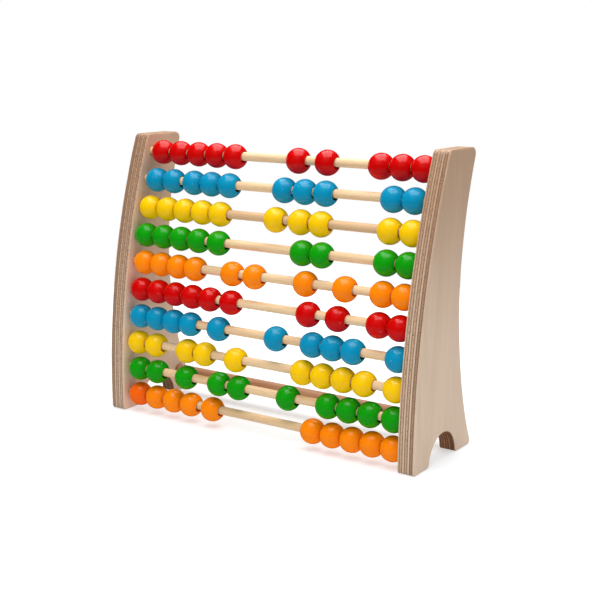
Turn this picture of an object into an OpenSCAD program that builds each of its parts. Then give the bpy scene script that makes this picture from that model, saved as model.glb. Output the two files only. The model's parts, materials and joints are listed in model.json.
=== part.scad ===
// Ten-row bead abacus: two curved plywood sides, ten wooden rods, a round
// stretcher at the back and sliding wooden beads.
// X runs along the rods, Y runs from the front to the back, Z is up.

/* [Sides] */
// Height of each side panel
panel_h = 230; // [226:1:240]
// Thickness of the plywood
panel_t = 14; // [12:0.5:18]
// Clear width between the two side panels
inner_w = 265; // [265:1:300]
// Height of the straight stretch at the foot of the front edge
front_straight = 15; // [5:1:30]
// Radius of the front edge, which leans back as it rises
front_r = 586; // [560:1:700]
// Distance from the front edge's foot to the waist of the rear edge
waist_y = 64; // [62:0.5:70]
// Height of the waist of the rear edge
waist_z = 125; // [115:1:130]
// Radius of the hollow rear edge
rear_r = 288; // [270:1:320]
// Radius of the two top corners
top_round = 5; // [3:0.5:8]
// Radius of the corners of the feet
foot_round = 3; // [1:0.5:4]
// Radius of the arch between the two feet
arch_r = 21.5; // [16:0.5:22]
// Distance from the front edge's foot to the middle of the arch
arch_y = 44.8; // [42:0.1:46]

/* [Rods] */
// Diameter of a rod
rod_d = 7; // [6:0.5:7.5]
// Height of the lowest rod
rod_first_z = 15; // [14:0.5:16]
// Height between one rod and the next
rod_pitch = 22.35; // [21.5:0.05:22.35]
// Distance from the front edge of the sides back to each rod
rod_setback = 10; // [9:0.5:12]
// Depth of the blind hole for each end of a rod
socket_depth = 9; // [5:0.5:10]

/* [Stretcher] */
// Diameter of the round stretcher between the sides
stretcher_d = 12; // [8:1:14]
// Distance from the front edge's foot back to the stretcher
stretcher_y = 74; // [73:0.5:76]
// Height of the stretcher
stretcher_z = 18; // [17:0.5:22]

/* [Beads] */
// Diameter of a bead
bead_d = 20; // [18:0.5:20.5]
// Length of a bead along its rod, between its two flats
bead_len = 17.4; // [16:0.1:17.4]
// Diameter of the hole through a bead
bead_bore = 8.5; // [8:0.1:9]
// Gap left between a rod and the top of a bead's hole
hang_gap = 0.05; // [0.02:0.01:0.1]

/* [Hidden] */
$fn = 64;
outer_w = inner_w + 2 * panel_t;
arc_fn = 720;                      // the two large edge arcs
cut = 1;                           // how far a cutter runs past a face
blend = 0.004;                     // how far a corner's circle crosses its edges
depth = rear_round_y(foot_round, foot_round) + foot_round + blend;  // of the base
hang = (bead_bore - rod_d) / 2 - hang_gap;

// Colour of each row, from the top down
row_colours = ["red", "deepskyblue", "gold", "green", "darkorange",
               "red", "deepskyblue", "gold", "green", "darkorange"];

// Beads of each row, from the top down. Each group slides as one and is
// [middle of its first bead, number of beads, distance between them].
rows = [
    [[-120.3, 5, 18.7], [15, 1, 0], [41.3, 1, 0], [88, 3, 17.8]],
    [[-121, 2, 18], [-82, 3, 18], [7.3, 3, 18.8], [103.2, 2, 17.6]],
    [[-123, 5, 18.2], [3.8, 1, 0], [26.7, 2, 18.6], [104.8, 2, 18.6]],
    [[-123.5, 4, 18.4], [-48.1, 1, 0], [32.2, 2, 17.6], [105.5, 2, 18.2]],
    [[-121.8, 4, 17.8], [-31, 1, 0], [-9.2, 1, 0], [38.5, 1, 0], [73.7, 1, 0],
     [105.8, 2, 17.8]],
    [[-122.9, 5, 18], [-29.6, 1, 0], [43.6, 1, 0], [70, 1, 0], [105.3, 2, 17.6]],
    [[-121.9, 4, 17.6], [-40.2, 1, 0], [16, 1, 0], [49.6, 3, 18], [123.6, 1, 0]],
    [[-123.1, 2, 18.7], [-71.2, 2, 18.4], [-21.6, 1, 0], [42.3, 4, 18.2],
     [123.6, 1, 0]],
    [[-121.8, 2, 19], [-71.6, 1, 0], [-37.9, 1, 0], [-18, 1, 0], [29.8, 1, 0],
     [66.2, 3, 18.5], [123.6, 1, 0]],
    [[-122.1, 4, 18.4], [-44.4, 1, 0], [53, 5, 17.6]]
];
row_count = len(rows);

// Depth of the front edge and of the rear edge at a height
function front_edge_y(z) =
    let (rise = max(z - front_straight, 0)) front_r - sqrt(pow(front_r, 2) - pow(rise, 2));
function rear_edge_y(z) =
    waist_y + rear_r - sqrt(pow(rear_r, 2) - pow(z - waist_z, 2));

// Depth of the middle of a round on the rear edge, whose middle is at height z
function rear_round_y(z, r) =
    waist_y + rear_r - sqrt(pow(rear_r + r, 2) - pow(z - waist_z, 2));

// Height and depth of a row's rod, where row 0 is the top one
function rod_z(row) = rod_first_z + (row_count - 1 - row) * rod_pitch;
function rod_y(row) = front_edge_y(rod_z(row)) + rod_setback;

function unit(v) = v / norm(v);
function two_digits(n) = str(n < 10 ? "0" : "", n);
function rod_name(row) = str("rod_", two_digits(row + 1));
function beads_name(row, group) = str("beads_", two_digits(row + 1), "_", chr(97 + group));

// Everything below is drawn with the middle of the base at the origin
module placed() {
    translate([0, -depth / 2, 0]) children();
}

// What a corner loses when it is rounded about centre c, between two edges
// whose outward normals are n1 and n2
module corner_waste(c, n1, n2, r) {
    difference() {
        polygon([c, c + 2 * r * n1, c + 2 * r * (n1 + n2), c + 2 * r * n2]);
        translate(c) circle(r + blend);
    }
}

// The outline's blank: the front arc stands on a straight stretch, and the
// rear edge is hollowed out
module panel_blank() {
    difference() {
        union() {
            square([rear_edge_y(0), front_straight]);
            intersection() {
                translate([front_r, front_straight]) circle(front_r, $fn = arc_fn);
                translate([0, front_straight])
                    square([rear_edge_y(0), panel_h - front_straight]);
            }
        }
        translate([waist_y + rear_r, waist_z]) circle(rear_r, $fn = arc_fn);
        translate([arch_y, 0]) circle(arch_r);
    }
}

module top_front_waste() {
    arc_centre = [front_r, front_straight];
    z = panel_h - top_round;
    c = [front_r - sqrt(pow(front_r - top_round, 2) - pow(z - front_straight, 2)), z];
    corner_waste(c, [0, 1], unit(c - arc_centre), top_round);
}

// A corner of the hollow rear edge, at the top or at the foot
module rear_waste(z, up, r) {
    arc_centre = [waist_y + rear_r, waist_z];
    c = [rear_round_y(z, r), z];
    corner_waste(c, [0, up], unit(arc_centre - c), r);
}

// A corner at the mouth of the arch, on its front (-1) or rear (1) side
module arch_waste(side) {
    reach = sqrt(pow(arch_r + foot_round, 2) - pow(foot_round, 2));
    c = [arch_y + side * reach, foot_round];
    corner_waste(c, [0, -1], unit([arch_y, 0] - c), foot_round);
}

module panel_outline() {
    difference() {
        panel_blank();
        top_front_waste();
        rear_waste(panel_h - top_round, 1, top_round);
        rear_waste(foot_round, -1, foot_round);
        corner_waste([foot_round, foot_round], [-1, 0], [0, -1], foot_round);
        arch_waste(-1);
        arch_waste(1);
    }
}

// Moves an X-wise piece to a height and depth, and lays its axis along X
module along_x(y, z) {
    translate([0, y, z]) rotate([0, 90, 0]) children();
}

// Blind holes for the rods and the stretcher, sunk into both inner faces
module sockets() {
    bored_w = inner_w + 2 * socket_depth;
    for (row = [0 : row_count - 1])
        along_x(rod_y(row), rod_z(row)) cylinder(h = bored_w, d = rod_d, center = true);
    along_x(stretcher_y, stretcher_z)
        cylinder(h = bored_w, d = stretcher_d, center = true);
}

module side_panel(x) {
    placed() difference() {
        translate([x, 0, 0]) rotate([90, 0, 90])
            linear_extrude(panel_t) panel_outline();
        sockets();
    }
}

module side_panel_left() {
    color("burlywood") side_panel(-outer_w / 2);
}

module side_panel_right() {
    color("burlywood") side_panel(inner_w / 2);
}

module stretcher() {
    color("tan") placed() along_x(stretcher_y, stretcher_z)
        cylinder(h = inner_w + 2 * socket_depth, d = stretcher_d, center = true);
}

module rod(row) {
    color("wheat") placed() along_x(rod_y(row), rod_z(row))
        cylinder(h = inner_w + 2 * socket_depth, d = rod_d, center = true);
}

// One bead about its own middle: a ball with two flats and a hole along X
module bead() {
    rotate([0, 90, 0]) difference() {
        intersection() {
            sphere(d = bead_d);
            cylinder(h = bead_len, d = bead_d + 2 * cut, center = true);
        }
        cylinder(h = bead_len + 2 * cut, d = bead_bore, center = true);
    }
}

// A group of beads, hung from its rod by the tops of their holes
module bead_group(row, group) {
    first = rows[row][group][0];
    count = rows[row][group][1];
    step = rows[row][group][2];
    color(row_colours[row]) placed() for (i = [0 : count - 1])
        translate([first + i * step, rod_y(row), rod_z(row) - hang]) bead();
}

side_panel_left();
side_panel_right();
stretcher();
for (row = [0 : row_count - 1]) {
    rod(row);
    for (group = [0 : len(rows[row]) - 1])
        bead_group(row, group);
}
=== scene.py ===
"""Looks of a ten-row bead abacus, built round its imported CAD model.

Everything is in metres in the shared frame: +X runs along the rods, +Y to the back
and +Z up. Two plywood sides, ten rods, a stretcher and one piece for each bead
stand for the CAD nodes. Textures work in millimetres of the same frame.
"""
import json
import math

import bmesh
import bpy
import numpy as np
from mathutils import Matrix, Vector, geometry


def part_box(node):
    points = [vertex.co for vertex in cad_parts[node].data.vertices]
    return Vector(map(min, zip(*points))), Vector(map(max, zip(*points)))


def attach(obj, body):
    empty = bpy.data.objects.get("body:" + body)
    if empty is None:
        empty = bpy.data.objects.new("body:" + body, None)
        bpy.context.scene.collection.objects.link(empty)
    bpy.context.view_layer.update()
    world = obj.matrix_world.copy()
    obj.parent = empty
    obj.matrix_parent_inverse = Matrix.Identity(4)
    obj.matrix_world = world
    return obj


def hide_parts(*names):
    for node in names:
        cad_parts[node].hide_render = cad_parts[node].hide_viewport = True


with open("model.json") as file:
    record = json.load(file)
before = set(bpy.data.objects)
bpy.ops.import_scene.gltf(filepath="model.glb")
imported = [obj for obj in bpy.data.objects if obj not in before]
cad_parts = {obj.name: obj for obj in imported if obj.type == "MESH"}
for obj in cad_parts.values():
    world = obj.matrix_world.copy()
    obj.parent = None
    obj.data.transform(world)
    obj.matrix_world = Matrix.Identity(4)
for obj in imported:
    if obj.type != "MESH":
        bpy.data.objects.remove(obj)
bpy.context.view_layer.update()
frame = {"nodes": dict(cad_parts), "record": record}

MM = 0.001

ROD_NODES = sorted(n for n in frame["nodes"] if n.startswith("rod_"))
BEAD_NODES = sorted(n for n in frame["nodes"] if n.startswith("beads_"))
BEAD_LENGTH = min(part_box(n)[1].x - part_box(n)[0].x for n in BEAD_NODES)

# The camera looks at a point above the middle of the base
CAMERA_AZIMUTH = 34.74
CAMERA_ELEVATION = 14.41
CAMERA_DISTANCE = 0.9265
AIM_HEIGHT = 0.0687
LENS = 69.88
SENSOR = 36
SHIFT = (0.0229, 0.08)

# Softbox overhead: height, width, depth and radiance
SOFTBOX = (1.05, 0.95, 1.4, 4.25)
SOFTBOX_SETBACK = 0.12  # how far behind the middle it hangs, seen from the camera
# Fill light in front: azimuth, elevation, distance, width, height and radiance
FILL = (12, 42, 1.4, 1.3, 0.9, 1.1)
FLOOR_RADIUS = 0.6
FLOOR_RINGS = [0.25, 0.5, 0.75, 1.0]  # shares of the radius
FLOOR_SEGMENTS = 160
# Light that the table gives off itself, at its middle and at its rim
TABLE_GLOW = (0.5, 0.75)
TABLE_IN_GLOSS = 0.07   # how bright the table looks in a glossy reflection
TABLE_WHITES = ((0.50, 0.53, 0.56), (0.52, 0.55, 0.58))
# The room's light: its strength, its colour, and its grey from below, level and above.
# Glossy reflections don't show it.
ROOM_LIGHT = 0.5
ROOM_COLOUR = (1.0, 0.96, 0.91)
ROOM_GREYS = [(0.0, 0.6), (0.6, 0.6), (1.0, 1.0)]

# Plywood: thin plies stand upright, thick ones lie crosswise between them
PLY_SHARES = (0.1, 0.2) * 3   # shares of the thickness, from the inner face
# Darkness of each thick ply's end grain beside the glue and in its middle
PLY_TONES = ((0.9, 0.05), (0.9, 0.1), (1.0, 0.6))
ARRIS = 0.9 * MM              # radius of the eased edges
OUTLINE_STEP = 3 * MM         # longest stretch between two points of the outline
FACE_MARGIN = 0.3 * MM        # flat ring beside each eased edge and chamfer
ARCH_SHADE_REACH = (18 * MM, 24.5 * MM)  # painted shade on the arch's wood, as distances from its middle
ARCH_SHADE_FREE_RINGS = 5         # rings of each eased edge that get no painted shade
TOP_PAINTED_SHADE = (0.76, 0.67, 0.60)  # painted shade: the wood darker and warmer at the top of the sides
TOP_SHADE_SPAN = (100, 250)    # heights in millimetres between which it sets in

# Colours of birch: the faces' veneer, then the crosswise end grain, then the marks
VENEER = ((0.80, 0.62, 0.465), (0.745, 0.565, 0.42), (0.79, 0.60, 0.465))
VENEER_STREAK = (0.57, 0.41, 0.28)
VENEER_FLECK = (0.44, 0.28, 0.18)
# the edges' darker copy of the veneer: partly the thin plies' own tone, partly painted light that
# leaves the big faces brighter
EDGE_TONE_AND_SHADE = (0.86, 0.84, 0.82)
END_GRAIN = ((0.70, 0.475, 0.315), (0.22, 0.115, 0.06))
END_CLOUD = (0.50, 0.31, 0.19)
END_PORE = (0.14, 0.075, 0.045)
DASH = (0.30, 0.17, 0.105)
GLUE = (0.17, 0.10, 0.065)
# painted shade under the arch
ARCH_SHADE_TINT = (0.45, 0.27, 0.13)

# Dowels: pale wood, darker bands, browner streaks, and how far the flecks show
BEECH = ((0.84, 0.61, 0.37), (0.78, 0.54, 0.31), (0.57, 0.34, 0.17), 0.35)
REDDISH = ((0.52, 0.275, 0.15), (0.43, 0.21, 0.105), (0.30, 0.13, 0.06), 0.5)
DOWEL_SEGMENTS = 40
DOWEL_STATIONS = 61
DOWEL_CHAMFER = 0.5 * MM
STRETCHER_SEED = 50
ROD_GAP = 0.2 * MM            # between a rod and its socket
SOCKET_CHAMFER = 0.4 * MM
SOCKET_SEGMENTS = 48

BEAD_SEGMENTS = 56
BEAD_BORE_R = 4.25 * MM
BEAD_MOUTH = (1.4 * MM, 0.62 * MM)  # the bore's flared mouth: along the rod, and outwards
BEAD_SHOULDER = 5.2 * MM  # radius where the ball begins
BEAD_PITCH = 18.2 * MM  # about the distance between neighbours in a group

# Rod tones from the top row down: below 0 is browner, above 0 is paler
ROD_TONES = [0.3, 0.0, -0.9, 0.1, -0.1, 0.2, -0.2, 0.0, 0.1, -0.4]

# Lacquers of the rows, from the top row down, repeated
LACQUERS = {
    "red": (0.575, 0.0, 0.0),
    "blue": (0.0, 0.262, 0.465),
    "yellow": (0.89, 0.545, 0.0),
    "green": (0.004, 0.308, 0.003),
    "orange": (0.97, 0.235, 0.0),
}
# How bright the lacquer's colour is inside the bores: values below 1 are painted shade in the
# bores
BORE_PAINTED_SHADES = {"red": 0.8, "blue": 0.15, "yellow": 1.0, "green": 0.15, "orange": 1.0}
ROW_ORDER = list(LACQUERS)
# Beads from another paint batch: (node, place in its group)
REDDER_BEADS = {("beads_10_a", 0)}


# ---------------------------------------------------------------- meshes

def make_piece(name, verts, faces, material, node, body="root"):
    """A smooth-shaded piece that stands for a CAD node and rides on a body."""
    mesh = bpy.data.meshes.new(name)
    mesh.from_pydata([tuple(v) for v in verts], [], [tuple(f) for f in faces])
    mesh.validate()
    mesh.shade_smooth()
    mesh.materials.append(material)
    piece = bpy.data.objects.new(name, mesh)
    bpy.context.scene.collection.objects.link(piece)
    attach(piece, body)
    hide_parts(node)
    return piece


def paint_points(piece, name, values):
    """Stores one number for each point of a piece, for its material to read."""
    layer = piece.data.attributes.new(name, "FLOAT", "POINT")
    layer.data.foreach_set("value", np.asarray(values, np.float32))


def bridge(first, second, count):
    """Quads between two rings of points, given by each ring's first index."""
    return [(first + i, first + (i + 1) % count, second + (i + 1) % count, second + i)
            for i in range(count)]


# ---------------------------------------------------------------- plywood sides

def outer_outline(node):
    """The closed outline of a side panel's outer face, as an array of (y, z)."""
    mesh = frame["nodes"][node].data
    outer = max(abs(v.co.x) for v in mesh.vertices)
    edges = {}
    for face in mesh.polygons:
        corners = [mesh.vertices[i].co for i in face.vertices]
        if all(abs(abs(c.x) - outer) < 1e-6 for c in corners):
            points = [(round(c.y, 6), round(c.z, 6)) for c in corners]
            for a, b in zip(points, points[1:] + points[:1]):
                key = frozenset((a, b))
                edges[key] = edges.get(key, 0) + 1
    neighbours = {}
    for key, count in edges.items():
        if count == 1:
            a, b = tuple(key)
            neighbours.setdefault(a, []).append(b)
            neighbours.setdefault(b, []).append(a)
    start = min(neighbours)
    loop = [start]
    last, here = start, sorted(neighbours[start])[0]
    while here != start:
        loop.append(here)
        step = [p for p in neighbours[here] if p != last]
        last, here = here, step[0]
    return np.array(loop)


def signed_area(loop):
    y, z = loop[:, 0], loop[:, 1]
    return 0.5 * np.sum(y * np.roll(z, -1) - z * np.roll(y, -1))


def refined(loop):
    """The loop with long stretches cut up, running counter-clockwise."""
    if signed_area(loop) < 0:
        loop = loop[::-1]
    points = []
    for a, b in zip(loop, np.roll(loop, -1, axis=0)):
        cuts = max(1, math.ceil(np.linalg.norm(b - a) / OUTLINE_STEP))
        points += [a + (b - a) * i / cuts for i in range(cuts)]
    return np.array(points)


def inset(loop, distance):
    """The loop moved inwards by a distance, or by one distance for each point."""
    ahead = np.roll(loop, -1, axis=0) - loop
    ahead /= np.linalg.norm(ahead, axis=1)[:, None]
    behind = np.roll(ahead, 1, axis=0)
    inward = np.stack([-(ahead + behind)[:, 1], (ahead + behind)[:, 0]], axis=1)
    inward /= np.linalg.norm(inward, axis=1)[:, None]
    return loop + inward * np.broadcast_to(distance, len(loop))[:, None]


def circle(centre, radius, count):
    turn = np.linspace(0, 2 * math.pi, count, endpoint=False)
    return np.stack([centre[0] + radius * np.cos(turn), centre[1] + radius * np.sin(turn)], 1)


def fill(loops, starts):
    """Triangles of a flat face bounded by a loop and its holes, whose points begin at starts."""
    flat = [[Vector((p[0], p[1], 0)) for p in loop] for loop in loops]
    index = [start + i for loop, start in zip(loops, starts) for i in range(len(loop))]
    return [tuple(index[i] for i in t) for t in geometry.tessellate_polygon(flat)]


def sockets():
    """(centre, radius, depth) of each blind hole in a side panel's inner face."""
    inner_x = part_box("side_panel_right")[0].x
    found = []
    for node in ["stretcher"] + ROD_NODES:
        low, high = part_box(node)
        centre = ((low.y + high.y) / 2, (low.z + high.z) / 2)
        found.append((centre, (high.z - low.z) / 2, high.x - inner_x))
    return found


def arch_painted_shade(points, edge_count, ring_size):
    """1 on the arch between the feet, where shade is painted into the wood, and 0 elsewhere."""
    opening = frame["record"]["physics"]["openings"][0]["box_m"]
    middle = (opening[0][1] + opening[1][1]) / 2
    reach = np.hypot(points[:, 1] - middle, points[:, 2])
    marks = np.clip((ARCH_SHADE_REACH[1] - reach) / MM, 0, 1) * (reach > ARCH_SHADE_REACH[0])
    marks[:ARCH_SHADE_FREE_RINGS * ring_size] = 0
    marks[edge_count - ARCH_SHADE_FREE_RINGS * ring_size:] = 0
    return marks


def add_ring(verts, points, depth, inner_x):
    """Adds a ring of points at a depth from a panel's inner face. Returns its first index."""
    start = len(verts)
    side = math.copysign(1, inner_x)
    depths = np.broadcast_to(depth, len(points))
    verts.extend((inner_x + side * d, p[0], p[1]) for p, d in zip(points, depths))
    return start


def edge_section(ease, thickness):
    """(inset, depth) of each ring from the inner face round both eased edges to the outer."""
    turns = np.radians([0, 18, 36, 54, 72, 90])
    inner = [(ease * (1 - math.sin(a)), ease * (1 - math.cos(a))) for a in turns]
    outer = [(inward, thickness - depth) for inward, depth in inner[::-1]]
    flat = ease + FACE_MARGIN
    return [(flat, 0 * ease)] + inner + outer + [(flat, thickness + 0 * ease)]


def socket_section(radius, depth):
    """(radius, depth) of each ring of a blind hole: flat margin, chamfer, wall and bottom."""
    wall = radius + ROD_GAP
    return [(wall + SOCKET_CHAMFER + FACE_MARGIN, 0), (wall + SOCKET_CHAMFER, 0),
            (wall + 0.4 * SOCKET_CHAMFER, 0.3 * SOCKET_CHAMFER), (wall, SOCKET_CHAMFER),
            (wall, depth - FACE_MARGIN), (wall, depth)]


def blind_holes(verts, faces, inner_x):
    """Adds the blind holes of a panel. Returns each mouth's outline and its first index."""
    mouths, starts = [], []
    for centre, radius, depth in sockets():
        section = socket_section(radius, depth)
        rings = [add_ring(verts, circle(centre, r, SOCKET_SEGMENTS), d, inner_x)
                 for r, d in section]
        for a, b in zip(rings, rings[1:]):
            faces += bridge(b, a, SOCKET_SEGMENTS)
        faces.append(tuple(rings[-1] + i for i in range(SOCKET_SEGMENTS)))
        mouths.append(circle(centre, section[0][0], SOCKET_SEGMENTS))
        starts.append(rings[0])
    return mouths, starts


def side_panel(node, material):
    """A plywood side with eased edges and chamfered blind holes."""
    low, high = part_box(node)
    thickness = high.x - low.x
    inner_x = low.x if low.x > 0 else high.x
    loop = refined(outer_outline(node))
    count = len(loop)
    run = np.arange(count) / count * 2 * math.pi
    ease = ARRIS * (1 + 0.12 * np.sin(7 * run) + 0.1 * np.sin(19 * run + 1))
    verts, faces = [], []
    rings = [add_ring(verts, inset(loop, inward), depth, inner_x)
             for inward, depth in edge_section(ease, thickness)]
    for a, b in zip(rings, rings[1:]):
        faces += bridge(a, b, count)
    flat_loop = inset(loop, ease + FACE_MARGIN)
    faces += fill([flat_loop], [rings[-1]])
    mouths, starts = blind_holes(verts, faces, inner_x)
    faces += fill([flat_loop] + mouths, [rings[0]] + starts)
    piece = make_piece(node + "_ply", verts, faces, material, node)
    face_outwards(piece)
    # Painted shade on the arch between the feet
    marks = arch_painted_shade(np.array(verts), len(rings) * count, count)
    paint_points(piece, "arch_shade", marks)
    return piece


def face_outwards(piece):
    """Turns a closed mesh's faces so that they all look outwards."""
    work = bmesh.new()
    work.from_mesh(piece.data)
    bmesh.ops.recalc_face_normals(work, faces=work.faces)
    work.to_mesh(piece.data)
    work.free()


# ---------------------------------------------------------------- rods and stretcher

def dowel(node, name, material, tone, seed):
    """A wooden rod along X with chamfered ends, turned a little unevenly."""
    rng = np.random.default_rng(seed)
    low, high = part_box(node)
    radius = (high.z - low.z) / 2
    middle = ((low.y + high.y) / 2, (low.z + high.z) / 2)
    segments = DOWEL_SEGMENTS
    spans = np.linspace(low.x + DOWEL_CHAMFER, high.x - DOWEL_CHAMFER, DOWEL_STATIONS)
    stations = np.concatenate([[low.x], spans, [high.x]])
    phase = rng.uniform(0, 2 * math.pi, 6)
    verts, faces = [], []
    turn = np.linspace(0, 2 * math.pi, segments, endpoint=False)
    for i, x in enumerate(stations):
        wave = sum(np.sin((k + 1) * 17 * x / 0.3 + turn * (k % 3) + phase[k]) for k in range(6))
        r = radius * (0.994 + 0.001 * wave)
        if i in (0, len(stations) - 1):
            r = r - DOWEL_CHAMFER
        verts += list(zip(np.full(segments, x), middle[0] + r * np.cos(turn),
                          middle[1] + r * np.sin(turn)))
        if i:
            faces += bridge((i - 1) * segments, i * segments, segments)
    faces.append(tuple(range(segments)))
    faces.append(tuple((len(stations) - 1) * segments + i for i in range(segments)))
    piece = make_piece(name, verts, faces, material, node)
    face_outwards(piece)
    paint_points(piece, "tone", np.full(len(verts), tone))
    return piece


# ---------------------------------------------------------------- beads

def bead_section(radius, half_length):
    """(x, r, bore) points round a bead's section. bore is 1 inside the hole."""
    mouth_x = half_length - BEAD_MOUTH[0]
    mouth_r = BEAD_BORE_R + BEAD_MOUTH[1]
    half = [(x, BEAD_BORE_R, 1.0) for x in (0, mouth_x * 0.5, mouth_x * 0.85)]
    for a in np.radians([0, 18, 36, 54, 72, 90]):
        half.append((mouth_x + BEAD_MOUTH[0] * math.sin(a), mouth_r - BEAD_MOUTH[1] * math.cos(a),
                     max(0.0, math.cos(a) ** 2)))
    first = math.asin(BEAD_SHOULDER / radius)
    for a in np.linspace(first, math.pi / 2, 15):
        half.append((radius * math.cos(a), radius * math.sin(a), 0.0))
    mirrored = [(-x, r, bore) for x, r, bore in half[-2:0:-1]]
    return np.array(half + mirrored)


def lumps(points, rng):
    """Slow waves over a ball, from -1 to 1, for points in units of its radius."""
    waves = 6
    total = np.zeros(len(points))
    for _ in range(waves):
        across = rng.normal(size=3)
        across *= rng.uniform(1.5, 5) / np.linalg.norm(across)
        total += np.sin(points @ across + rng.uniform(0, 2 * math.pi))
    return total / waves


def bead(name, centre, size, material, node, seed, batch):
    """One turned bead, lacquered unevenly, with a bore along X."""
    rng = np.random.default_rng(seed)
    radius = size[1] / 2
    section = bead_section(radius, size[0] / 2)
    turn = np.linspace(0, 2 * math.pi, BEAD_SEGMENTS, endpoint=False) + rng.uniform(0, 1)
    x = np.repeat(section[:, 0], BEAD_SEGMENTS)
    r = np.repeat(section[:, 1], BEAD_SEGMENTS)
    bore = np.repeat(section[:, 2], BEAD_SEGMENTS)
    around = np.tile(turn, len(section))
    local = np.stack([x, r * np.cos(around), r * np.sin(around)], 1)
    shrink = 1 - (0.007 - 0.006 * lumps(local / radius, rng)) * (1 - bore)
    local *= shrink[:, None]
    verts = local + np.array(centre)
    rings = len(section)
    faces = []
    for i in range(rings):
        faces += bridge(i * BEAD_SEGMENTS, (i + 1) % rings * BEAD_SEGMENTS, BEAD_SEGMENTS)
    piece = make_piece(name, verts, faces, material, node, node)
    face_outwards(piece)
    paint_points(piece, "bore", bore)
    paint_points(piece, "tone", np.full(len(verts), rng.uniform(-1, 1)))
    paint_points(piece, "batch", np.full(len(verts), batch))
    return piece


def bead_row(row, materials):
    """The beads of every group of a row, each riding on its group's body."""
    colour = ROW_ORDER[(row - 1) % len(ROW_ORDER)]
    for node in [n for n in BEAD_NODES if n.startswith(f"beads_{row:02d}_")]:
        low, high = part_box(node)
        spread = high.x - low.x - BEAD_LENGTH
        gaps = round(spread / BEAD_PITCH)
        step = spread / gaps if gaps else 0
        size = (BEAD_LENGTH, high.z - low.z)
        for i in range(gaps + 1):
            x = low.x + BEAD_LENGTH / 2 + i * step
            centre = (x, (low.y + high.y) / 2, (low.z + high.z) / 2)
            batch = 1.0 if (node, i) in REDDER_BEADS else 0.0
            seed = row * 1000 + round((x + 1) * 500)
            bead(f"{node.replace('beads', 'bead')}_{i + 1}", centre, size, materials[colour],
                 node, seed, batch)


# ---------------------------------------------------------------- material nodes

def add_node(tree, kind, inputs=None, **settings):
    """Adds a shader node. inputs maps a socket's name or number to a value or an output."""
    made = tree.nodes.new(kind)
    for name, value in settings.items():
        setattr(made, name, value)
    for name, value in (inputs or {}).items():
        if isinstance(value, bpy.types.NodeSocket):
            tree.links.new(value, made.inputs[name])
        else:
            made.inputs[name].default_value = value
    return made


def maths(tree, operation, a, b=0.0, c=0.0):
    return add_node(tree, "ShaderNodeMath", {0: a, 1: b, 2: c}, operation=operation).outputs[0]


def mix(tree, factor, a, b, blend="MIX"):
    """A colour mix. a and b are colours as (r, g, b) or outputs."""
    a, b = [v if isinstance(v, bpy.types.NodeSocket) else (*v, 1.0) for v in (a, b)]
    inputs = {0: factor, 6: a, 7: b}
    made = add_node(tree, "ShaderNodeMix", inputs, data_type="RGBA", blend_type=blend)
    return made.outputs[2]


def tinted(tree, colour, tint):
    """A colour multiplied by a tint."""
    return mix(tree, 1.0, colour, tint, "MULTIPLY")


def remap(tree, value, low, high, to_low=0.0, to_high=1.0):
    """A smooth step of a value from one range to another."""
    inputs = {"Value": value, "From Min": low, "From Max": high,
              "To Min": to_low, "To Max": to_high}
    return add_node(tree, "ShaderNodeMapRange", inputs, interpolation_type="SMOOTHSTEP").outputs[0]


def millimetres(tree, stretch=(1, 1, 1)):
    """Object coordinates in millimetres, divided by stretch along X, Y and Z."""
    place = add_node(tree, "ShaderNodeTexCoord").outputs["Object"]
    scale = tuple(1000 / s for s in stretch)
    return add_node(tree, "ShaderNodeMapping", {"Vector": place, "Scale": scale}).outputs[0]


def noise(tree, vector, detail=3.0, roughness=0.55, distortion=0.0):
    inputs = {"Vector": vector, "Scale": 1.0, "Detail": detail, "Roughness": roughness,
              "Distortion": distortion}
    return add_node(tree, "ShaderNodeTexNoise", inputs).outputs[0]


def split(tree, vector):
    """The X, Y and Z outputs of a vector."""
    return add_node(tree, "ShaderNodeSeparateXYZ", {0: vector}).outputs


def attribute(tree, name):
    return add_node(tree, "ShaderNodeAttribute", attribute_name=name).outputs["Fac"]


def ramp(tree, factor, stops):
    """A grey ramp. stops is a list of (place, grey)."""
    made = add_node(tree, "ShaderNodeValToRGB", {0: factor})
    elements = made.color_ramp.elements
    while len(elements) < len(stops):
        elements.new(0.5)
    for element, stop in zip(elements, stops):
        element.position = stop[0]
    for element, stop in zip(elements, stops):
        grey = stop[1]
        element.color = (grey, grey, grey, 1)
    return made.outputs[0]


def combined(tree, value):
    """A number as a grey colour, so that colours can be mixed from it."""
    return add_node(tree, "ShaderNodeCombineColor", {0: value, 1: value, 2: value}).outputs[0]


def bump(tree, height, distance, strength=1.0, normal=None):
    inputs = {"Height": height, "Distance": distance, "Strength": strength}
    if normal is not None:
        inputs["Normal"] = normal
    return add_node(tree, "ShaderNodeBump", inputs).outputs[0]


def new_material(name, **constants):
    """A material and its shader. constants are set on the shader's own sockets."""
    material = bpy.data.materials.new(name)
    material.use_nodes = True
    tree = material.node_tree
    shader = tree.nodes["Principled BSDF"]
    for socket, value in constants.items():
        shader.inputs[socket.replace("_", " ")].default_value = value
    return material, tree, shader


def connect(tree, shader, colour, roughness, normal):
    tree.links.new(colour, shader.inputs["Base Color"])
    tree.links.new(roughness, shader.inputs["Roughness"])
    tree.links.new(normal, shader.inputs["Normal"])


# ---------------------------------------------------------------- materials

def ply_depth(tree):
    """How deep a point lies in its panel, as a wandering share of the thickness."""
    low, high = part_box("side_panel_right")
    across = split(tree, millimetres(tree))[0]
    wander = noise(tree, millimetres(tree, (9, 9, 9)))
    depth = maths(tree, "SUBTRACT", maths(tree, "ABSOLUTE", across), low.x / MM)
    share = maths(tree, "DIVIDE", depth, (high.x - low.x) / MM)
    offset = maths(tree, "MULTIPLY", maths(tree, "SUBTRACT", wander, 0.5), 0.018)
    return maths(tree, "ADD", share, offset)


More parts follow.
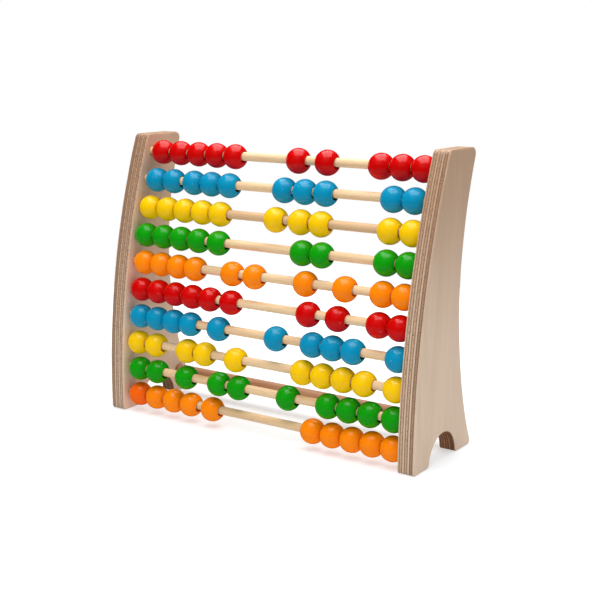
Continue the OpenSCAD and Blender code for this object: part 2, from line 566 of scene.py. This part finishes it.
def ply_masks(tree):
    """(crosswise ply mask, its tone, glue line mask) from the depth through the panel."""
    share = ply_depth(tree)
    glue_lines = np.cumsum(PLY_SHARES).tolist()
    soft, line = 0.006, 0.012
    cross, glue, tone = [(0.0, 0.0)], [(0.0, 0.0)], [(0.0, 0.5)]
    for i, place in enumerate(glue_lines):
        now, after = (0.0, 1.0) if i % 2 == 0 else (1.0, 0.0)
        cross += [(place - soft, now), (place + soft, after)]
        glue += [(place - line, 0.0), (place, 1.0), (place + line, 0.0)]
    for start, (rim, core) in zip(glue_lines[::2], PLY_TONES):
        tone += [(start, rim), (start + 0.03, rim), (start + 0.075, core),
                 (start + 0.125, core), (start + 0.17, rim), (start + 0.2, rim)]
    return ramp(tree, share, cross), ramp(tree, share, tone), ramp(tree, share, glue)


def veneer(tree, streaks, patches):
    """Long upright grain of the faces and the thin plies."""
    bands = noise(tree, millimetres(tree, (9, 13, 150)), 2, 0.5, 1.2)
    flecks = remap(tree, noise(tree, millimetres(tree, (0.7, 0.5, 5)), 1), 0.66, 0.74)
    face = mix(tree, remap(tree, bands, 0.3, 0.7), VENEER[0], VENEER[1])
    face = mix(tree, remap(tree, patches, 0.35, 0.65, 0, 0.55), face, VENEER[2])
    face = mix(tree, remap(tree, streaks, 0.5, 0.85, 0, 0.2), face, VENEER_STREAK)
    return mix(tree, maths(tree, "MULTIPLY", flecks, 0.14), face, VENEER_FLECK)


def end_grain(tree, tone, height, pores, clouds):
    """End grain of the crosswise plies, darker beside the glue."""
    tone = maths(tree, "MULTIPLY", tone, remap(tree, height, 90, 220, 1.0, 0.7))
    grain = mix(tree, tone, END_GRAIN[0], END_GRAIN[1])
    grain = mix(tree, remap(tree, clouds, 0.3, 0.7, 0, 0.25), grain, END_CLOUD)
    return mix(tree, remap(tree, pores, 0.48, 0.62, 0, 0.65), grain, END_PORE)


def end_shown(tree, cross, facing):
    """How far a point shows end grain, from its ply and the way that it faces."""
    end_upright = remap(tree, maths(tree, "ABSOLUTE", facing[2]), 0.3, 0.9, 0.0, 0.7)
    end_cross = remap(tree, maths(tree, "ABSOLUTE", facing[1]), 0.25, 0.8)
    return mix(tree, cross, combined(tree, end_upright), combined(tree, end_cross))


def dashes(tree, height, side_on):
    """Short dark dashes across the edges, denser on the left side."""
    across = split(tree, millimetres(tree))[0]
    marks = noise(tree, millimetres(tree, (1.6, 1.0, 0.6)), 1, 0.6)
    amount = remap(tree, across, -1, 1, 0.7, 0.25)
    amount = maths(tree, "MULTIPLY", amount, remap(tree, height, 20, 110, 0.4, 1.0))
    amount = maths(tree, "MULTIPLY", amount, remap(tree, side_on, 0.5, 0.9, 1.0, 0.0))
    return maths(tree, "MULTIPLY", remap(tree, marks, 0.45, 0.6), amount)


def plywood():
    """Birch plywood: pale upright grain on the faces, laminated edges with darker end grain."""
    material, tree, shader = new_material("plywood_birch", IOR=1.45)
    cross, tone, glue = ply_masks(tree)
    height = split(tree, millimetres(tree))[2]
    normal = add_node(tree, "ShaderNodeNewGeometry").outputs["True Normal"]
    facing = split(tree, normal)
    side_on = maths(tree, "ABSOLUTE", facing[0])
    end = end_shown(tree, cross, facing)
    streaks = noise(tree, millimetres(tree, (3, 1.1, 42)), 4, 0.6, 0.3)
    patches = noise(tree, millimetres(tree, (40, 40, 90)), 2)
    pores = noise(tree, millimetres(tree, (0.6, 1.3, 1.3)), 2, 0.7)
    clouds = noise(tree, millimetres(tree, (1.2, 14, 14)), 2)

    face = veneer(tree, streaks, patches)
    # Faces that look sideways keep the lighter veneer: partly the thin plies' own tone on the
    # edges, partly painted light on the big faces
    edge = tinted(tree, face, EDGE_TONE_AND_SHADE)
    face = mix(tree, remap(tree, side_on, 0.75, 0.95), edge, face)
    colour = mix(tree, end, face, end_grain(tree, tone, height, pores, clouds))
    colour = mix(tree, dashes(tree, height, side_on), colour, DASH)
    glue_seen = maths(tree, "MULTIPLY", glue, remap(tree, side_on, 0.75, 0.95, 0.7, 0.0))
    colour = mix(tree, glue_seen, colour, GLUE)
    # Painted shade on the arch between the feet, uneven with the clouds
    depth = remap(tree, clouds, 0.2, 0.8, 0.8, 1.0)
    arch_shade = maths(tree, "MULTIPLY", attribute(tree, "arch_shade"), depth)
    colour = mix(tree, arch_shade, colour, tinted(tree, colour, ARCH_SHADE_TINT))

    # Painted shade: the wood is darker and warmer towards the top
    upper_shade = maths(tree, "ADD", height, maths(tree, "MULTIPLY", patches, 40.0))
    upper_shade = remap(tree, upper_shade, *TOP_SHADE_SPAN)
    colour = mix(tree, upper_shade, colour, tinted(tree, colour, TOP_PAINTED_SHADE))

    relief = maths(tree, "MULTIPLY", pores, end)
    relief = maths(tree, "ADD", maths(tree, "MULTIPLY", streaks, 0.5), relief)
    rough = remap(tree, streaks, 0.2, 0.8, 0.46, 0.62)
    connect(tree, shader, colour, rough, bump(tree, relief, 0.12 * MM, 0.7))
    return material


def dowel_wood(name, pale, dark, browner, fleck_amount):
    """Sanded dowel with its grain along X. The point attribute tone shifts it to browner."""
    material, tree, shader = new_material(name, IOR=1.45)
    streaks = noise(tree, millimetres(tree, (38, 0.8, 0.8)), 4, 0.65, 0.4)
    bands = noise(tree, millimetres(tree, (70, 3, 3)), 2, 0.5, 0.6)
    flecks = noise(tree, millimetres(tree, (2.2, 0.35, 0.35)), 1)
    colour = mix(tree, remap(tree, bands, 0.3, 0.7), pale, dark)
    colour = mix(tree, remap(tree, streaks, 0.42, 0.75, 0, 0.5), colour, browner)
    colour = mix(tree, remap(tree, flecks, 0.62, 0.7, 0, fleck_amount), colour, browner)
    shade = maths(tree, "MULTIPLY", attribute(tree, "tone"), -1.0)
    colour = mix(tree, remap(tree, shade, 0, 1, 0, 0.6), colour, browner)
    rough = remap(tree, streaks, 0.2, 0.8, 0.42, 0.6)
    connect(tree, shader, colour, rough, bump(tree, streaks, 0.15 * MM, 0.6))
    return material


def lacquer_relief(tree, dent):
    """The lacquer's surface: slow lumps, fine orange peel and the dents."""
    lump = noise(tree, millimetres(tree, (2.9, 2.9, 2.9)), 1, 0.4)
    peel = noise(tree, millimetres(tree, (0.7, 0.7, 0.7)), 1)
    shape = bump(tree, lump, 0.04 * MM, 0.06)
    shape = bump(tree, peel, 0.008 * MM, 0.1, shape)
    return bump(tree, dent, 0.05 * MM, 0.2, shape)


def lacquer(name, colour, bore_painted_shade):
    """Glossy lacquer on turned wood: an uneven film, small dents and a matt bore darkened with
    painted shade.
    """
    material, tree, shader = new_material(name, IOR=1.5, Specular_IOR_Level=0.3)
    deep = tuple(c * 0.9 for c in colour)
    light = tuple(min(1.0, c * 1.1) for c in colour)
    redder = (colour[0] * 0.92, colour[1] * 0.52, colour[2])
    film = noise(tree, millimetres(tree, (3.6, 3.6, 3.6)), 2, 0.5)
    base = mix(tree, remap(tree, film, 0.4, 0.7, 0, 0.4), colour, deep)
    base = mix(tree, remap(tree, attribute(tree, "tone"), -1, 1, 0, 0.4), base, light)
    base = mix(tree, attribute(tree, "batch"), base, redder)
    # Painted shade inside the bore
    base = mix(tree, attribute(tree, "bore"), base, tuple(c * bore_painted_shade for c in colour))
    # A few cells of a Voronoi pattern hold a pale speck in a dent
    vector = millimetres(tree, (5.1, 5.1, 5.1))
    cells = add_node(tree, "ShaderNodeTexVoronoi", {"Vector": vector, "Scale": 1.0}).outputs
    rare = remap(tree, cells["Color"], 0.66, 0.68)
    speck = remap(tree, cells["Distance"], 0.05, 0.09, 0.5, 0.0)
    speck = maths(tree, "MULTIPLY", speck, rare)
    base = mix(tree, speck, base, tuple(0.45 + 0.55 * c for c in colour))
    dent = remap(tree, cells["Distance"], 0.02, 0.1, -1, 0)
    dent = maths(tree, "MULTIPLY", dent, rare)
    rough = remap(tree, film, 0.3, 0.7, 0.19, 0.26)
    rough = maths(tree, "MULTIPLY_ADD", attribute(tree, "bore"), 0.6, rough)
    connect(tree, shader, base, rough, lacquer_relief(tree, dent))
    return material


# ---------------------------------------------------------------- floor, lights, camera

def direction(azimuth, elevation):
    """Unit vector from the object towards a place round it."""
    a, e = math.radians(azimuth), math.radians(elevation)
    return Vector((math.sin(a) * math.cos(e), -math.cos(a) * math.cos(e), math.sin(e)))


def table_material():
    """White table top that glows a little, and looks much darker in glossy reflections."""
    material, tree, shader = new_material("white_table", Roughness=0.7, Specular_IOR_Level=0.2,
                                          Emission_Color=(1, 1, 1, 1))
    mottle = noise(tree, millimetres(tree, (60, 60, 60)), 2)
    glossy = add_node(tree, "ShaderNodeLightPath").outputs["Is Glossy Ray"]
    seen = maths(tree, "MULTIPLY_ADD", glossy, TABLE_IN_GLOSS - 1, 1.0)
    white = mix(tree, mottle, *TABLE_WHITES)
    tree.links.new(tinted(tree, white, combined(tree, seen)), shader.inputs["Base Color"])
    place = add_node(tree, "ShaderNodeTexCoord").outputs["Object"]
    length = add_node(tree, "ShaderNodeVectorMath", {0: place}, operation="LENGTH")
    reach = length.outputs["Value"]
    glow = remap(tree, reach, 0.35 * FLOOR_RADIUS, FLOOR_RADIUS, *TABLE_GLOW)
    glow = maths(tree, "MULTIPLY", glow, seen)
    tree.links.new(glow, shader.inputs["Emission Strength"])
    return material


def pale_floor():
    """A round white table top."""
    count = FLOOR_SEGMENTS
    verts = [(0, 0, 0)]
    faces = []
    for k, share in enumerate(FLOOR_RINGS):
        verts += [(x, y, 0) for x, y in circle((0, 0), share * FLOOR_RADIUS, count)]
        if k:
            faces += bridge(1 + (k - 1) * count, 1 + k * count, count)
    faces += [(0, 1 + i, 1 + (i + 1) % count) for i in range(count)]
    mesh = bpy.data.meshes.new("floor")
    mesh.from_pydata(verts, [], faces)
    mesh.materials.append(table_material())
    floor = bpy.data.objects.new("floor", mesh)
    bpy.context.scene.collection.objects.link(floor)


def area_light(name, width, height, radiance):
    """A rectangular light of an even radiance, which the camera doesn't see."""
    data = bpy.data.lights.new(name, "AREA")
    data.shape = "RECTANGLE"
    data.size = width
    data.size_y = height
    data.energy = radiance * math.pi * width * height
    lamp = bpy.data.objects.new(name, data)
    lamp.visible_camera = False
    bpy.context.scene.collection.objects.link(lamp)
    return lamp


def look_from(item, azimuth, elevation, distance, height=0.0):
    """Puts a lamp or camera at a place round the object, looking at the middle line."""
    towards = direction(azimuth, elevation)
    item.location = Vector((0, 0, height)) + towards * distance
    item.rotation_mode = "QUATERNION"
    item.rotation_quaternion = (-towards).to_track_quat("-Z", "Y")


def softbox():
    """One wide softbox overhead, turned to lie across the camera's view."""
    height, width, depth, radiance = SOFTBOX
    lamp = area_light("softbox", width, depth, radiance)
    behind = -direction(CAMERA_AZIMUTH, 0) * SOFTBOX_SETBACK
    lamp.location = (behind.x, behind.y, height)
    lamp.rotation_euler = (0, 0, math.radians(CAMERA_AZIMUTH))


def fill_light():
    """A dim, wide fill in front of the rows, which leaves no glint on the lacquer."""
    azimuth, elevation, distance, width, height, radiance = FILL
    lamp = area_light("fill", width, height, radiance)
    look_from(lamp, azimuth, elevation, distance)
    lamp.visible_glossy = False


def studio_world():
    """White all round for the camera. It lights the object most from above."""
    world = bpy.data.worlds.new("studio")
    bpy.context.scene.world = world
    world.use_nodes = True
    world.cycles_visibility.glossy = False
    tree = world.node_tree
    tree.nodes.clear()
    place = add_node(tree, "ShaderNodeTexCoord").outputs["Generated"]
    height = maths(tree, "MULTIPLY_ADD", split(tree, place)[2], 0.5, 0.5)
    glow = tinted(tree, ramp(tree, height, ROOM_GREYS), ROOM_COLOUR)
    light = add_node(tree, "ShaderNodeBackground", {"Color": glow, "Strength": ROOM_LIGHT})
    white = add_node(tree, "ShaderNodeBackground", {"Color": (1, 1, 1, 1), "Strength": 1.0})
    seen = add_node(tree, "ShaderNodeLightPath").outputs["Is Camera Ray"]
    shades = {0: seen, 1: light.outputs[0], 2: white.outputs[0]}
    both = add_node(tree, "ShaderNodeMixShader", shades)
    add_node(tree, "ShaderNodeOutputWorld", {"Surface": both.outputs[0]})


def camera():
    """The photograph's view."""
    data = bpy.data.cameras.new("camera")
    data.lens = LENS
    data.sensor_width = SENSOR
    data.shift_x, data.shift_y = SHIFT
    data.clip_start = 0.01
    data.clip_end = 20
    eye = bpy.data.objects.new("camera", data)
    look_from(eye, CAMERA_AZIMUTH, CAMERA_ELEVATION, CAMERA_DISTANCE, AIM_HEIGHT)
    bpy.context.scene.collection.objects.link(eye)
    bpy.context.scene.camera = eye


# ---------------------------------------------------------------- the abacus

bpy.context.scene.view_settings.view_transform = "Standard"
camera()
pale_floor()
studio_world()
softbox()
fill_light()

ply = plywood()
side_panel("side_panel_left", ply)
side_panel("side_panel_right", ply)

beech = dowel_wood("rod_beech", *BEECH)
for row, rod in enumerate(ROD_NODES, 1):
    dowel(rod, f"rod_{row:02d}_dowel", beech, ROD_TONES[row - 1], row)
reddish = dowel_wood("stretcher_hardwood", *REDDISH)
dowel("stretcher", "stretcher_dowel", reddish, 0.0, STRETCHER_SEED)

lacquers = {colour: lacquer(colour + "_lacquer", rgb, BORE_PAINTED_SHADES[colour])
            for colour, rgb in LACQUERS.items()}
for row in range(1, len(ROD_NODES) + 1):
    bead_row(row, lacquers)
